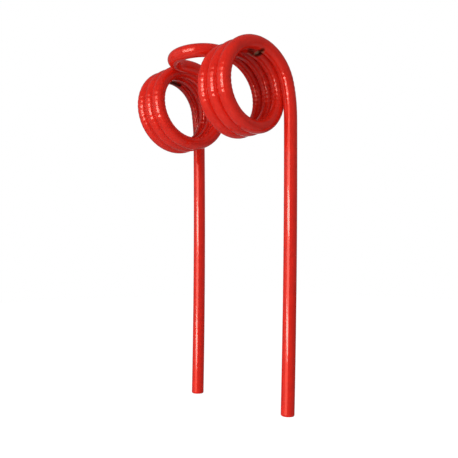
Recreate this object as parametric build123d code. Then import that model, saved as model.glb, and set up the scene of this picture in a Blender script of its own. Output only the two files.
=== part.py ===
"""Pickup tine: one length of round spring wire, wound into two coils and left with two legs.

The wire runs from one leg end up into the first coil, through the bolt loop to the second
coil and down the other leg. The two halves mirror each other in the plane X = 0.
Frame: X along the common axis of the coils, Y towards the legs, Z up. Origin on that axis,
midway between the coils. Lengths are in millimetres and angles in degrees.
"""
import math
import os

from build123d import *

# Wire
WIRE_DIAMETER = 6.0
END_ROUNDING = 0.6          # edge of the square-cut leg ends

# Coils
COIL_BORE = 30.0            # clears the tine bar
COIL_GAP = 0.15             # daylight between neighbouring turns
FULL_TURNS = 3
LEAD_OFF_ANGLE = 12.0       # where the leg leaves the round, above the axis on the leg side
LOOP_OFF_ANGLE = 70.0       # where the loop strand leaves the round, above the axis

# Bolt loop that joins the two coils
LOOP_CLEAR_WIDTH = 18.0     # passes the clamp bolt
LOOP_HEIGHT = 17.9          # start of the bend, above the coil axis
LOOP_BEND_START = 6.7       # start of the bend, behind the coil axis
LOOP_STRAIGHT = 1.8         # straight piece before the bend
LOOP_DROOP = 4.7            # the loop points this far below level
LOOP_SIDE_STEP = 0.2        # the coil starts this much outboard of the loop strand

# Legs
LEG_TIP_DEPTH = 142.5       # leg end below the coil axis
LEG_TOP_DEPTH = 14.0        # top of the leg proper below the coil axis
LEG_SET_OUT = 1.2           # leg stands this much clear of the round, towards +Y
LEG_SIDE_STEP = 0.1         # and this much further outboard than the coil's own slope
LEG_TOE_IN = 0.75           # the legs lean towards each other going down
LEG_BOW_RADIUS = 3500.0     # long even bow that brings the ends back under the coils

# Derived sizes
WIRE_RADIUS = WIRE_DIAMETER / 2
COIL_RADIUS = (COIL_BORE + WIRE_DIAMETER) / 2
PITCH = WIRE_DIAMETER + COIL_GAP
LOOP_RADIUS = (LOOP_CLEAR_WIDTH + WIRE_DIAMETER) / 2
COIL_START_X = LOOP_RADIUS + LOOP_SIDE_STEP     # wire at the top of the round, nearest the loop
EASING_HANDLE = 0.36        # share of the chord used as handle of an easing curve


def easing(start, start_direction, end, end_direction):
    """Smooth lead between two stretches of wire, tangent to both."""
    handle = EASING_HANDLE * (end - start).length
    return Bezier(start, start + start_direction * handle, end - end_direction * handle, end)


def coil():
    """Round turns of the +X coil, from the loop strand outwards to the leg."""
    swept_angle = 360 * FULL_TURNS + LOOP_OFF_ANGLE - LEAD_OFF_ANGLE
    inner_x = COIL_START_X + PITCH * (90 - LOOP_OFF_ANGLE) / 360
    inner_direction = (0, math.cos(math.radians(LOOP_OFF_ANGLE)), math.sin(math.radians(LOOP_OFF_ANGLE)))
    seat = Plane(origin=(inner_x, 0, 0), x_dir=inner_direction, z_dir=(1, 0, 0))
    turns = Helix(PITCH, PITCH * swept_angle / 360, COIL_RADIUS, lefthand=True)
    return seat.location * turns


def leg():
    """Slightly bowed leg, from its top down to the square-cut end."""
    leg_x = COIL_START_X + PITCH * (FULL_TURNS + 0.25) + LEG_SIDE_STEP
    top = Vector(leg_x, COIL_RADIUS + LEG_SET_OUT, -LEG_TOP_DEPTH)
    toe = math.radians(LEG_TOE_IN)
    down = Vector(-math.sin(toe), 0, -math.cos(toe))
    length = (LEG_TIP_DEPTH - LEG_TOP_DEPTH) / math.cos(toe)
    middle = top + down * (length / 2) + Vector(0, -(length / 2) ** 2 / (2 * LEG_BOW_RADIUS), 0)
    tip = top + down * length + Vector(0, -length ** 2 / (2 * LEG_BOW_RADIUS), 0)
    return ThreePointArc(top, middle, tip)


def half_loop():
    """Straight strand and quarter bend, from the +X coil to the mirror plane."""
    droop = math.radians(LOOP_DROOP)
    outward = Vector(0, -math.cos(droop), -math.sin(droop))
    bend_start = Vector(LOOP_RADIUS, -LOOP_BEND_START, LOOP_HEIGHT)
    bend_end = bend_start + outward * LOOP_RADIUS - Vector(LOOP_RADIUS, 0, 0)
    strand = Line(bend_start - outward * LOOP_STRAIGHT, bend_start)
    bend = TangentArc(bend_start, bend_end, tangent=outward)
    return strand, bend


def half_path():
    """Centreline of the +X half as touching edges, from the leg end to the mirror plane."""
    leg_edge, turns = leg(), coil()
    strand, bend = half_loop()
    to_leg = easing(turns @ 1, turns % 1, leg_edge @ 0, leg_edge % 0)
    to_loop = easing(turns @ 0, (turns % 0) * -1, strand @ 0, strand % 0)
    return [leg_edge, to_leg, turns, to_loop, strand, bend]


def tine():
    """Sweep the wire section along both halves and round the two leg ends."""
    near = half_path()
    far = [edge.mirror(Plane.YZ) for edge in near]
    path = Wire(near + far)
    section = Plane(origin=path @ 0, z_dir=path % 0) * Circle(WIRE_RADIUS)
    wire = sweep(section, path=path)
    leg_ends = wire.faces().filter_by(GeomType.PLANE)
    return fillet(leg_ends.edges(), END_ROUNDING)


os.makedirs("parts", exist_ok=True)
export_step(tine(), "parts/tine.step")
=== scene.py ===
"""Red-painted pickup tine, hung before a white sweep and seen from the right of its front."""

import math

import bpy
import numpy as np
from mathutils import Matrix, Vector


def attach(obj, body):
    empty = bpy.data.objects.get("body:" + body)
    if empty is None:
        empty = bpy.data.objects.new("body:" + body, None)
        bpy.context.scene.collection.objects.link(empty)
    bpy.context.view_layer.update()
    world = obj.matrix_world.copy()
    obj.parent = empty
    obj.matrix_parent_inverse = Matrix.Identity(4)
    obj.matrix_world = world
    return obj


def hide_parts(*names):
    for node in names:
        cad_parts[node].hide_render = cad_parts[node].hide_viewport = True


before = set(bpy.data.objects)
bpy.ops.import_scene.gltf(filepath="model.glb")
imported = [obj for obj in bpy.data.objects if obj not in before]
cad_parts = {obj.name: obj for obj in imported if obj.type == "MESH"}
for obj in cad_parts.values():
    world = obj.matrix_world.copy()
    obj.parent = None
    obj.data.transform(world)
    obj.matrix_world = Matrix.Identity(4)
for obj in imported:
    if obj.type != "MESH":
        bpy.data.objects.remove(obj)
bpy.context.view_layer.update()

MM = 0.001

# Wire and its line, in millimetres, as in the part's source
WIRE_RADIUS = 3.0
COIL_RADIUS = 18.0
PITCH = 6.15
FULL_TURNS = 3
LEAD_OFF_ANGLE = 12.0
LOOP_OFF_ANGLE = 70.0
LOOP_RADIUS = 12.0
LOOP_HEIGHT = 17.9
LOOP_BEND_START = 6.7
LOOP_STRAIGHT = 1.8
LOOP_DROOP = 4.7
LOOP_SIDE_STEP = 0.2
COIL_START_X = LOOP_RADIUS + LOOP_SIDE_STEP
LEG_TIP_DEPTH = 142.5
LEG_TOP_DEPTH = 14.0
LEG_SET_OUT = 1.2
LEG_SIDE_STEP = 0.1
LEG_TOE_IN = 0.75
LEG_BOW_RADIUS = 3500.0
EASING_HANDLE = 0.36
END_ROUNDING = 0.6

# Rings of the skin, in millimetres along the wire
FINE_STEP = 0.30        # between rings on the coils
LOOP_STEP = 0.45        # between rings on the loop
LEG_STEP = 1.0          # between rings on the legs
LEAD_IN = 12.0          # fine rings and roller waves begin this far before the coil
WAVES_FULL = 2.0        # the waves have their full depth this far past its start
WAVES_OUT = 4.0         # and fade over this length before its end
AROUND = 32             # points in a ring

# Waves left by the coiling rollers
RIPPLE_LENGTH = 2.23
RIPPLE_DEPTH = 0.15
RIPPLE_DRIFT = 0.13     # they slip this share of a wave out of step, to and fro
RIPPLE_SLIP_LENGTH = 23.0
RIPPLE_FIRST = 144.3    # the deepest waves stand here and every half turn on
RIPPLE_FALL = 5         # the higher, the sooner the depth falls off on either side
RIPPLE_REST = 0.12      # share of the depth that is left halfway between
RIPPLE_UNEVEN = 0.2     # share by which the depth varies from place to place
RIPPLE_SEED = 11

# Paint film
FILM_UNEVEN = 0.0015    # all over
COIL_UNEVEN = 0.004     # and this much more on the coils
FILM_SEED = 7
LUMP_HEIGHT = 0.003     # of the lumps low on the legs
LUMP_LENGTH = 2.9
LUMP_SLIP = 1.1         # radians that they slip out of step, to and fro
LUMP_SLIP_LENGTH = 7.0
LUMPS_START = (18, 24)  # they rise and fade between these distances from the leg end
LUMPS_END = (44, 50)
PEEL_HEIGHT = 0.0005    # of the orange peel, as a bump


# ---------------------------------------------------------------- wire line

def unit(v):
    return v / np.linalg.norm(v)


def distances(points):
    return np.r_[0, np.cumsum(np.linalg.norm(np.diff(points, axis=0), axis=1))]


def smooth_step(low, high, value):
    t = np.clip((value - low) / (high - low), 0, 1)
    return t * t * (3 - 2 * t)


def easing(start, start_direction, end, end_direction, count):
    handle = EASING_HANDLE * np.linalg.norm(end - start)
    a, b, c, d = start, start + start_direction * handle, end - end_direction * handle, end
    t = np.linspace(0, 1, count)[:, None]
    return (1 - t) ** 3 * a + 3 * (1 - t) ** 2 * t * b + 3 * (1 - t) * t ** 2 * c + t ** 3 * d


def round_point(angle):
    """Point and direction on the round of the +X coil; angle grows from the leg to the loop."""
    rad = math.radians(angle)
    last = math.radians(360 * FULL_TURNS + 90)
    x = COIL_START_X + PITCH * (last - rad) / (2 * math.pi)
    point = np.array([x, COIL_RADIUS * math.cos(rad), COIL_RADIUS * math.sin(rad)])
    slope = -PITCH / (2 * math.pi)
    direction = np.array([slope, -COIL_RADIUS * math.sin(rad), COIL_RADIUS * math.cos(rad)])
    return point, unit(direction)


def half_line():
    """Points of the +X half, leg end to mirror plane, and where its coil starts and ends."""
    toe = math.radians(LEG_TOE_IN)
    down = np.array([-math.sin(toe), 0, -math.cos(toe)])
    leg_x = COIL_START_X + PITCH * (FULL_TURNS + 0.25) + LEG_SIDE_STEP
    top = np.array([leg_x, COIL_RADIUS + LEG_SET_OUT, -LEG_TOP_DEPTH])
    run = np.linspace((LEG_TIP_DEPTH - LEG_TOP_DEPTH) / math.cos(toe), 0, 400)[:, None]
    leg = top + down * run + np.array([0, -1, 0]) * run ** 2 / (2 * LEG_BOW_RADIUS)
    off, off_way = round_point(LEAD_OFF_ANGLE)
    lead = easing(top, -down, off, off_way, 80)
    last_angle = 360 * FULL_TURNS + LOOP_OFF_ANGLE
    turns = np.array([round_point(a)[0] for a in np.linspace(LEAD_OFF_ANGLE, last_angle, 1500)])
    end, end_way = round_point(last_angle)
    droop = math.radians(LOOP_DROOP)
    outward = np.array([0, -math.cos(droop), -math.sin(droop)])
    bend_start = np.array([LOOP_RADIUS, -LOOP_BEND_START, LOOP_HEIGHT])
    strand_start = bend_start - outward * LOOP_STRAIGHT
    to_loop = easing(end, end_way, strand_start, outward, 60)
    strand = np.array([strand_start, bend_start])
    a = np.linspace(0, math.pi / 2, 90)[:, None]
    inward = np.array([-1, 0, 0])
    bend = bend_start + LOOP_RADIUS * (inward * (1 - np.cos(a)) + outward * np.sin(a))
    line = np.concatenate([leg, lead[1:], turns[1:], to_loop[1:], strand[1:], bend[1:]])
    gone = distances(line)
    first = len(leg) + len(lead) - 2
    return line, gone[first], gone[first + len(turns) - 1]


def wire_line():
    """Ring centres, how far along the wire each is, the coil's span and the wire's length."""
    half, coil_start, coil_end = half_line()
    whole = np.concatenate([half, (half * [-1, 1, 1])[::-1][1:]])
    gone = distances(whole)
    total = gone[-1]
    fine_start = coil_start - LEAD_IN
    stops = [0, fine_start, coil_end, total - coil_end, total - fine_start, total]
    steps = [LEG_STEP, FINE_STEP, LOOP_STEP, FINE_STEP, LEG_STEP]
    along = [np.zeros(1)]
    for a, b, step in zip(stops[:-1], stops[1:], steps):
        along.append(np.linspace(a, b, int(round((b - a) / step)) + 1)[1:])
    along = np.concatenate(along)
    points = np.stack([np.interp(along, gone, whole[:, k]) for k in range(3)], 1)
    return points, along, (coil_start, coil_end), total


def steady_frames(points, along):
    """Directions along the wire and two across it that never spin about it."""
    ways = np.gradient(points, along, axis=0)
    ways /= np.linalg.norm(ways, axis=1)[:, None]
    side = unit(np.cross(ways[0], [0, 1, 0]))
    sides = [side]
    for way in ways[1:]:
        side = unit(side - way * (side @ way))
        sides.append(side)
    sides = np.array(sides)
    return ways, sides, np.cross(ways, sides)


# ---------------------------------------------------------------- skin

def wobble(along, around, seed):
    """Slow unevenness over the unrolled wire, about -1 to 1, from a few random waves."""
    rng = np.random.default_rng(seed)
    total = np.zeros(np.broadcast(along, around).shape)
    for _ in range(14):
        length = rng.uniform(5.0, 40.0)
        turns = rng.integers(0, 3)
        phase, tilt = rng.uniform(0, 2 * math.pi, 2)
        total += np.sin(2 * math.pi * along / length + phase) * np.cos(turns * around + tilt)
    return total / 6


def film_height(along, from_tip, angle, coil):
    """Height of the painted surface above the wire's true round, at each point of each ring."""
    start, end = coil
    at, round_at = along[:, None], angle[None, :]
    wound = smooth_step(start - LEAD_IN, start + WAVES_FULL, from_tip)
    wound *= 1 - smooth_step(end - WAVES_OUT, end, from_tip)
    film = (FILM_UNEVEN + COIL_UNEVEN * wound)[:, None] * wobble(at, round_at, FILM_SEED)
    # Roller waves, deepest on two opposite sides of each turn
    half_turn = math.pi * math.hypot(COIL_RADIUS, PITCH / (2 * math.pi))
    pressed = 0.5 + 0.5 * np.cos(2 * math.pi * (from_tip - RIPPLE_FIRST) / half_turn)
    pressed = wound * (RIPPLE_REST + (1 - RIPPLE_REST) * pressed ** RIPPLE_FALL)
    uneven = 1 + RIPPLE_UNEVEN * wobble(at, round_at, RIPPLE_SEED)
    depth = RIPPLE_DEPTH * pressed[:, None] * uneven
    slip = RIPPLE_DRIFT * np.sin(along / RIPPLE_SLIP_LENGTH)
    place = 2 * ((along / RIPPLE_LENGTH + slip) % 1) - 1
    film += depth * (1 / 3 - place ** 2)[:, None]
    # Lumps in the paint low on the legs
    lumpy = smooth_step(*LUMPS_START, from_tip) * (1 - smooth_step(*LUMPS_END, from_tip))
    slip = LUMP_SLIP * np.sin(along / LUMP_SLIP_LENGTH)
    lumps = np.cos(2 * math.pi * along / LUMP_LENGTH + slip)
    return film + (LUMP_HEIGHT * lumpy * lumps)[:, None]


# Hook marks, where the tine hung while it was painted. Each stroke has a half width in mm,
# a strength, and points of (distance from the leg's end, direction it faces in degrees),
# where 0 faces away from the coil's axis, 90 away from the other coil and 180 the axis.
STROKE_EDGE = 1.5   # the higher, the harder the edge
NEAR_DARK = [(1.9, 0.78, [(284.6, 138), (283.0, 145), (281.6, 160)]),
             (1.6, 1.0, [(279.6, 152), (278.7, 131), (278.2, 112)]),
             (1.9, 1.0, [(168.1, 200), (168.4, 184), (168.5, 168)])]
# Paler lines on the marks: rubbed steel, painted paler also as a glint of the light on it
NEAR_PALE = [(0.85, 0.9, [(280.6, 146), (280.0, 131), (279.8, 117)]),
             (0.95, 0.6, [(167.0, 178), (166.9, 195)]),
             (0.8, 0.5, [(284.3, 170), (282.6, 180), (280.8, 192), (279.6, 200)])]
FAR_DARK = [(1.6, 1.0, [(172.6, -158), (171.4, -146), (169.8, -149), (168.3, -154),
                        (166.7, -146)])]
# The far mark's paler line: rubbed steel with a painted glint of light as well
FAR_PALE = [(0.6, 0.7, [(172.9, -136), (171.2, -130), (169.4, -131)])]


def stroke_mask(strokes, along, facing):
    """Strength of the strokes at each point, measured over the wire's surface."""
    total = np.zeros(facing.shape)
    for width, strength, stroke in strokes:
        near = np.full(facing.shape, 99.0)
        for (s0, f0), (s1, f1) in zip(stroke[:-1], stroke[1:]):
            across = (facing - f0 + 180) % 360 - 180
            lengthways = np.broadcast_to(along[:, None] - s0, facing.shape)
            a = np.stack([lengthways, np.radians(across) * WIRE_RADIUS], -1)
            b = np.array([s1 - s0, math.radians(f1 - f0) * WIRE_RADIUS])
            t = np.clip(a @ b / (b @ b), 0, 1)
            near = np.minimum(near, np.linalg.norm(a - t[..., None] * b, axis=-1))
        total = np.maximum(total, strength * np.clip(STROKE_EDGE * (1 - near / width), 0, 1))
    return total


def spokes_of(sides, ups, angle):
    """Unit directions from each ring's centre to its points."""
    across = np.cos(angle)[None, :, None] * sides[:, None]
    return across + np.sin(angle)[None, :, None] * ups[:, None]


def facing_angles(points, spokes):
    """Direction that each point of a ring faces, as told for the hook marks."""
    radial = points * [0, 1, 1]
    radial /= np.linalg.norm(radial, axis=1)[:, None]
    outward = np.einsum("kac,kc->ka", spokes, radial)
    sideways = spokes[..., 0] * np.sign(points[:, 0])[:, None]
    return np.degrees(np.arctan2(sideways, outward))


def ring_list(count):
    """Each ring's centre point, shift along the wire and radius; the leg ends are rounded."""
    arc = np.linspace(0, math.pi / 2, 5)
    inset = END_ROUNDING * (1 - np.sin(arc))
    shift = END_ROUNDING * (1 - np.cos(arc))
    flat = WIRE_RADIUS - END_ROUNDING
    end = [(0.0, flat * 0.35), (0.0, flat * 0.7)]
    end += [(d, WIRE_RADIUS - i) for i, d in zip(inset, shift)]
    rings = [(0, d, radius) for d, radius in end]
    rings += [(k, 0.0, WIRE_RADIUS) for k in range(1, count - 1)]
    rings += [(count - 1, -d, radius) for d, radius in reversed(end)]
    return rings


def tube_faces(count):
    """Quads between the rings, and a fan to the middle point of each leg end."""
    faces = []
    last_ring = (count - 1) * AROUND
    for at in range(0, last_ring, AROUND):
        for c in range(AROUND):
            d = (c + 1) % AROUND
            faces.append((at + c, at + d, at + AROUND + d, at + AROUND + c))
    first, last = count * AROUND, count * AROUND + 1
    for c in range(AROUND):
        d = (c + 1) % AROUND
        faces.append((first, d, c))
        faces.append((last, last_ring + c, last_ring + d))
    return faces


def build_skin():
    """The painted wire as one closed tube, with what its material reads at each point."""
    points, along, coil, total = wire_line()
    ways, sides, ups = steady_frames(points, along)
    angle = np.linspace(0, 2 * math.pi, AROUND, endpoint=False)
    spokes = spokes_of(sides, ups, angle)
    from_tip = np.minimum(along, total - along)
    film = film_height(along, from_tip, angle, coil)
    facing = facing_angles(points, spokes)
    near_half, far_half = (along < total / 2)[:, None], (along > total / 2)[:, None]
    dark = stroke_mask(NEAR_DARK, from_tip, facing) * near_half
    dark += stroke_mask(FAR_DARK, from_tip, facing) * far_half
    # Paler lines: rubbed steel with a painted glint of light
    pale = stroke_mask(NEAR_PALE, from_tip, facing) * near_half
    pale += stroke_mask(FAR_PALE, from_tip, facing) * far_half

    verts, straight, dark_at, pale_at = [], [], [], []
    rings = ring_list(len(points))
    for k, shift, radius in rings:
        height = film[k] if radius == WIRE_RADIUS else np.zeros(AROUND)
        verts.append(points[k] + ways[k] * shift + spokes[k] * (radius + height)[:, None])
        unrolled = np.full(AROUND, along[k] + shift)
        straight.append(np.stack([np.cos(angle) * radius, np.sin(angle) * radius, unrolled], 1))
        dark_at.append(dark[k])
        pale_at.append(pale[k])
    verts = np.concatenate(verts + [[points[0], points[-1]]])
    straight = np.concatenate(straight + [[[0, 0, along[0]], [0, 0, along[-1]]]])

    mesh = bpy.data.meshes.new("wire_skin")
    mesh.from_pydata((verts * MM).tolist(), [], tube_faces(len(rings)))
    mesh.polygons.foreach_set("use_smooth", [True] * len(mesh.polygons))
    layer = mesh.attributes.new("straight", "FLOAT_VECTOR", "POINT")
    layer.data.foreach_set("vector", straight.astype(np.float32).ravel())
    for name, values in (("hook_dark", dark_at), ("hook_rub_and_glint", pale_at)):
        layer = mesh.attributes.new(name, "FLOAT", "POINT")
        values = np.append(np.concatenate(values), [0, 0])
        layer.data.foreach_set("value", values.astype(np.float32))
    obj = bpy.data.objects.new("painted_wire", mesh)
    bpy.context.scene.collection.objects.link(obj)
    return obj


# ---------------------------------------------------------------- material

class Nodes:
    """Short way to place and link shader nodes."""

    def __init__(self, tree):
        self.tree = tree

    def add(self, kind, **values):
        node = self.tree.nodes.new(kind)
        for key, value in values.items():
            if hasattr(node, key):
                setattr(node, key, value)
            else:
                node.inputs[key].default_value = value
        return node

    def link(self, a, b):
        self.tree.links.new(a, b)

    def feed(self, socket, value):
        """Link an output, or set a number or colour."""
        if isinstance(value, bpy.types.NodeSocket):
            self.link(value, socket)
        else:
            socket.default_value = value

    def math(self, operation, a, b, clamp=False):
        node = self.add("ShaderNodeMath", operation=operation, use_clamp=clamp)
        self.feed(node.inputs[0], a)
        self.feed(node.inputs[1], b)
        return node.outputs[0]

    def ramp(self, value, low, high):
        node = self.add("ShaderNodeMapRange", interpolation_type="SMOOTHSTEP")
        self.feed(node.inputs["From Min"], low)
        self.feed(node.inputs["From Max"], high)
        self.link(value, node.inputs["Value"])
        return node.outputs["Result"]

    def noise(self, vector, scale, detail, rough):
        node = self.add("ShaderNodeTexNoise", Scale=scale, Detail=detail, Roughness=rough)
        self.link(vector, node.inputs["Vector"])
        return node.outputs["Fac"]

    def mix(self, factor, a, b):
        node = self.add("ShaderNodeMix", data_type="RGBA")
        self.link(factor, node.inputs[0])
        self.feed(node.inputs[6], a)    # its colour sockets
        self.feed(node.inputs[7], b)
        return node.outputs[2]


def emptied(tree):
    """Node helper for a tree with its default nodes taken out."""
    tree.nodes.clear()
    return Nodes(tree)


# Linear colours
THICK_PAINT, THIN_PAINT = (0.69, 0.017, 0.009, 1), (0.76, 0.020, 0.010, 1)
# The paler mark colour is rubbed steel with a painted glint of light in it
SOOT, RUB_AND_GLINT = (0.034, 0.006, 0.001, 1), (0.26, 0.17, 0.11, 1)


def red_enamel():
    mat = bpy.data.materials.new("red_enamel")
    mat.use_nodes = True
    n = emptied(mat.node_tree)
    out = n.add("ShaderNodeOutputMaterial")
    shader = n.add("ShaderNodeBsdfPrincipled")
    n.link(shader.outputs[0], out.inputs[0])
    # The unrolled wire in millimetres, so that nothing stretches round the coils
    straight = n.add("ShaderNodeAttribute", attribute_name="straight").outputs["Vector"]

    # Colour: thicker film is a shade deeper
    patch = n.noise(straight, 0.22, 3.0, 0.6)
    colour = n.mix(n.ramp(patch, 0.35, 0.65), THICK_PAINT, THIN_PAINT)
    # Hook marks: soot-dark bare patches with paler rubbed lines, ragged at their edges. The
    # paler lines also carry a painted glint of the light on the rubbed steel
    ragged = n.math("SUBTRACT", n.noise(straight, 1.6, 3.0, 0.6), 0.5)
    ragged = n.math("ADD", n.math("MULTIPLY", ragged, 1.2), 1.0)
    marks = []
    for name in ("hook_dark", "hook_rub_and_glint"):
        mark = n.add("ShaderNodeAttribute", attribute_name=name).outputs["Fac"]
        marks.append(n.math("MULTIPLY", mark, ragged, clamp=True))
    dark, pale = marks
    colour = n.mix(dark, colour, SOOT)
    colour = n.mix(pale, colour, RUB_AND_GLINT)
    n.link(colour, shader.inputs["Base Color"])
    worn = n.math("MAXIMUM", dark, pale)
    n.link(n.math("SUBTRACT", 1.0, n.math("MULTIPLY", worn, 0.8)), shader.inputs["Coat Weight"])
    n.link(n.math("ADD", 0.12, n.math("MULTIPLY", worn, 0.4)), shader.inputs["Roughness"])

    # Orange peel
    bump = n.add("ShaderNodeBump", Strength=1.0, Distance=MM)
    peel = n.math("MULTIPLY", n.noise(straight, 0.9, 2.0, 0.5), PEEL_HEIGHT)
    n.link(peel, bump.inputs["Height"])
    n.link(bump.outputs[0], shader.inputs["Normal"])
    n.link(bump.outputs[0], shader.inputs["Coat Normal"])

    # The coat alone is glossy, over a body with a trace of metal in it
    shader.inputs["Metallic"].default_value = 0.10
    shader.inputs["Specular IOR Level"].default_value = 0.0
    shader.inputs["Coat Roughness"].default_value = 0.035
    shader.inputs["Coat IOR"].default_value = 1.5
    return mat


# ---------------------------------------------------------------- stage

# Camera as fitted to the photo's outline
AZIMUTH = 47.599
LOOK_UP = 4.092
ROLL = 0.237
EYE = Vector((0.194199, -0.166270, -0.079114))
FOCAL_PIXELS = 555.01
PHOTO_SIDE = 458
SENSOR = 36.0

turn = Matrix.Rotation(math.radians(AZIMUTH), 4, "Z")
pitch = Matrix.Rotation(math.radians(90 + LOOK_UP), 4, "X")
view = turn @ pitch @ Matrix.Rotation(math.radians(-ROLL), 4, "Z")

# What the gloss and the dull surface see of the room, and the floor far below the tine
ROOM, FILL = (0.17, 0.18, 0.18, 1), (0.34, 0.35, 0.36, 1)
WHITE = (1, 1, 1, 1)
SWEEP_EDGE = (0.965, 0.995)     # cosines from the view axis between which the sweep fades out
FLOOR_HEIGHT = -0.45
FLOOR_HALF = 6.0
FLOOR_GREY = (0.36, 0.36, 0.36, 1)
FLOOR_GLOW = 0.94               # with the light that falls on it, white in the picture


def make_camera():
    data = bpy.data.cameras.new("camera")
    data.sensor_width = SENSOR
    data.lens = FOCAL_PIXELS / PHOTO_SIDE * SENSOR
    data.clip_start = 0.01
    cam = bpy.data.objects.new("camera", data)
    cam.matrix_world = Matrix.Translation(EYE) @ view
    bpy.context.scene.collection.objects.link(cam)
    bpy.context.scene.camera = cam


def lamp(name, azimuth, elevation, distance, width, height, radiance, colour,
         roll=0.0, mirrored=True, diffuse=True):
    """Area lamp at a direction seen from the camera: azimuth to its right, elevation up."""
    az, el = math.radians(azimuth), math.radians(elevation)
    way = Vector((math.sin(az) * math.cos(el), math.sin(el), math.cos(az) * math.cos(el)))
    back = view.to_3x3() @ way
    data = bpy.data.lights.new(name, "AREA")
    data.shape = "RECTANGLE"
    data.size, data.size_y = width, height
    data.energy = radiance * math.pi * width * height
    data.color = colour
    obj = bpy.data.objects.new(name, data)
    right = Vector((0, 0, 1)).cross(back).normalized()
    aim = Matrix((right, back.cross(right), back)).transposed().to_4x4()
    rolled = Matrix.Rotation(math.radians(roll), 4, "Z")
    obj.matrix_world = Matrix.Translation(back * distance) @ aim @ rolled
    obj.visible_glossy = mirrored
    obj.visible_diffuse = diffuse
    bpy.context.scene.collection.objects.link(obj)


def sweep_share(n, direction):
    """1 for the camera, and for gloss that looks straight behind the object; 0 elsewhere."""
    facing = n.add("ShaderNodeVectorMath", operation="DOT_PRODUCT")
    n.link(direction, facing.inputs[0])
    facing.inputs[1].default_value = -(view.to_3x3() @ Vector((0, 0, 1)))
    path = n.add("ShaderNodeLightPath")
    seen = n.math("MAXIMUM", path.outputs["Is Glossy Ray"], path.outputs["Is Transmission Ray"])
    seen = n.math("MULTIPLY", seen, n.ramp(facing.outputs["Value"], *SWEEP_EDGE))
    return n.math("MAXIMUM", seen, path.outputs["Is Camera Ray"])


def make_world():
    world = bpy.data.worlds.new("studio")
    bpy.context.scene.world = world
    world.use_nodes = True
    n = emptied(world.node_tree)
    out = n.add("ShaderNodeOutputWorld")
    back = n.add("ShaderNodeBackground")
    n.link(back.outputs[0], out.inputs[0])
    lit = n.mix(n.add("ShaderNodeLightPath").outputs["Is Diffuse Ray"], ROOM, FILL)
    white = sweep_share(n, n.add("ShaderNodeTexCoord").outputs["Generated"])
    n.link(n.mix(white, lit, WHITE), back.inputs["Color"])


def make_floor():
    mesh = bpy.data.meshes.new("floor")
    corners = [(x * FLOOR_HALF, y * FLOOR_HALF, FLOOR_HEIGHT)
               for x, y in ((-1, -1), (1, -1), (1, 1), (-1, 1))]
    mesh.from_pydata(corners, [], [(0, 1, 2, 3)])
    obj = bpy.data.objects.new("floor", mesh)
    bpy.context.scene.collection.objects.link(obj)
    mat = bpy.data.materials.new("pale_floor")
    mat.use_nodes = True
    n = emptied(mat.node_tree)
    out = n.add("ShaderNodeOutputMaterial")
    diffuse = n.add("ShaderNodeBsdfDiffuse", Color=FLOOR_GREY)
    glow = n.add("ShaderNodeEmission", Color=WHITE)
    total = n.add("ShaderNodeAddShader")
    away = n.add("ShaderNodeVectorMath", operation="NORMALIZE")
    n.link(n.add("ShaderNodeNewGeometry").outputs["Position"], away.inputs[0])
    lift = n.math("MULTIPLY", sweep_share(n, away.outputs["Vector"]), FLOOR_GLOW)
    n.link(lift, glow.inputs["Strength"])
    n.link(diffuse.outputs[0], total.inputs[0])
    n.link(glow.outputs[0], total.inputs[1])
    n.link(total.outputs[0], out.inputs[0])
    mesh.materials.append(mat)


skin = build_skin()
skin.data.materials.append(red_enamel())
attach(skin, "root")
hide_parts("tine")

make_camera()
make_world()
make_floor()

WARM, PALE, PLAIN = (1.0, 0.93, 0.70), (1.0, 0.95, 0.86), (1.0, 0.98, 0.96)
# Softboxes to the left of the camera, with the bright bands that draw the highlights
lamp("key_panel", -38, 7, 0.90, 0.76, 0.86, 1.5, WARM)
lamp("key_heart", -38, 1, 0.88, 0.66, 0.39, 1.5, PALE, diffuse=False)
lamp("key_soft", -28, 0, 0.90, 0.50, 0.50, 1.95, WARM, mirrored=False)
lamp("left_wall", -82, 2, 0.95, 0.60, 0.95, 0.35, PALE, diffuse=False)
lamp("core_top", -33, 19, 0.86, 0.30, 0.060, 5.5, PALE, diffuse=False)
lamp("core_high", -37, 6.0, 0.86, 0.48, 0.078, 9.6, PALE, roll=-5, diffuse=False)
lamp("core_low", -39, -8.2, 0.86, 0.48, 0.070, 8.6, PALE, roll=-7, diffuse=False)
# Fills all round, which the gloss doesn't mirror
lamp("low_fill", -30, -38, 0.50, 0.36, 0.36, 2.5, PLAIN, mirrored=False)
lamp("right_fill", 40, 5, 0.90, 0.60, 0.60, 0.45, PLAIN, mirrored=False)
lamp("top_fill", -20, 70, 0.90, 0.80, 0.80, 1.0, PLAIN, mirrored=False)
lamp("back_fill", 135, 10, 0.90, 0.80, 0.80, 2.2, PLAIN, mirrored=False)
lamp("side_fill", -130, 10, 0.90, 0.80, 0.80, 0.9, PLAIN, mirrored=False)
bpy.context.scene.view_settings.view_transform = "Standard"
